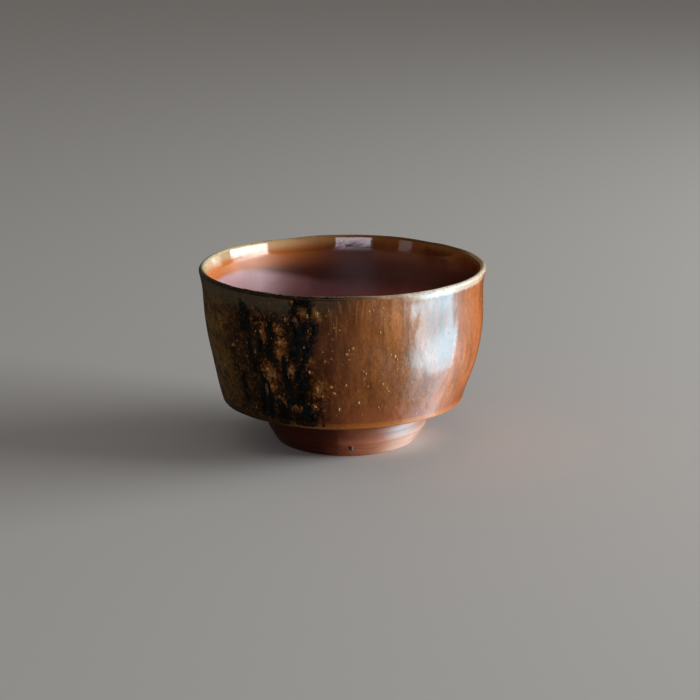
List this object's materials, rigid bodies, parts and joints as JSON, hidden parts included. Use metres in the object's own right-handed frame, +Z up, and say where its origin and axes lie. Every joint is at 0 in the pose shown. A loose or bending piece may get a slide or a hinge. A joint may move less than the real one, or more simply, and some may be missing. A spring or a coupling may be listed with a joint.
{
  "type": "guinomi sake cup",
  "caption": "Small wheel-thrown sake cup with a turned foot, an amber ash glaze with dark runs outside and a glossy red-brown glaze inside.",
  "frame": {"origin": "on the axis of the mouth, at the level of the table that the foot stands on", "axes": "+Z up out of the mouth, -Y towards the side with the ash runs, +X to the right seen from that side"},
  "size_m": [0.062, 0.062, 0.0386],
  "materials": {
    "bare_clay": "unglazed red stoneware, turned, dry",
    "foot_clay": "unglazed red stoneware with a slight fired sheen and turning marks",
    "inner_glaze": "glossy red-brown iron glaze, orange-brown under the lip",
    "outer_glaze": "amber ash glaze, olive at the left, red-brown in front, orange at the right",
    "lip_glaze": "thin worn cream line of glaze over the lip",
    "glaze_hem": "bright orange bead where the glaze stopped",
    "ash_runs": "blue-black glossy runs of melted ash",
    "ash_crystals": "yellow-grey ash crystals in the glaze",
    "iron_spots": "dark melted iron spots on the bare clay"
  },
  "bodies": {
    "root": {"clay_bowl": "bare_clay", "foot_ring": "foot_clay", "inner_glaze": "inner_glaze", "outer_glaze": "outer_glaze", "lip_glaze": "lip_glaze", "glaze_hem": "glaze_hem", "ash_runs": "ash_runs", "ash_crystals": "ash_crystals", "iron_spots": "iron_spots"}
  },
  "joints": []
}
